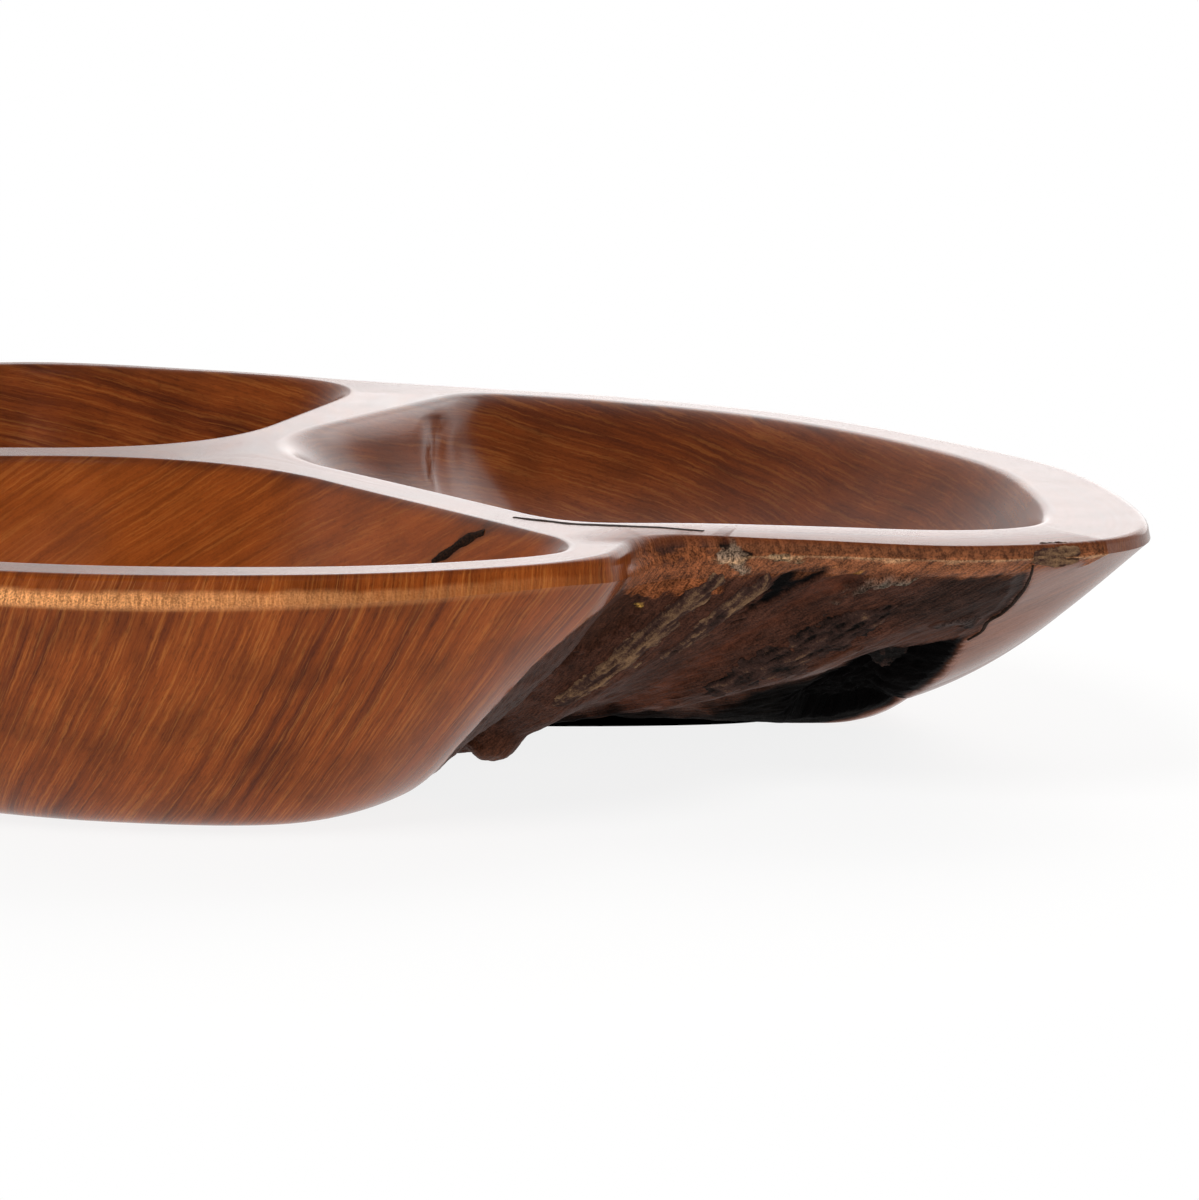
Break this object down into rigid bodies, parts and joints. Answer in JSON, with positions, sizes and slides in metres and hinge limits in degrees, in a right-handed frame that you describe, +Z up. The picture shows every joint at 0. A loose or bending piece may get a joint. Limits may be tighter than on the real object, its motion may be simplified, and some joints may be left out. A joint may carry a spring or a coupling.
{
  "type": "bowl",
  "caption": "Live-edge wooden serving bowl carved from root wood, with hollows side by side, a flat polished rim and bark left in one notch.",
  "frame": {"origin": "on the floor, under the middle of the footprint", "axes": "+Z up out of the hollows, +X to the end of the long right lobe, -Y to the front lobe"},
  "size_m": [0.4348, 0.3782, 0.074],
  "materials": {
    "root_wood": "lacquered",
    "bark": "raw"
  },
  "bodies": {
    "root": {"bowl_body": "root_wood", "bark_ridge_left": "bark", "bark_ridge_middle": "bark", "bark_patch_right": "bark", "pocket_bark": "bark", "rim_bark_chip": "bark", "rim_crack_fill": "bark", "hollow_bark_streak": "bark", "side_seam_fill": "bark"}
  },
  "joints": []
}
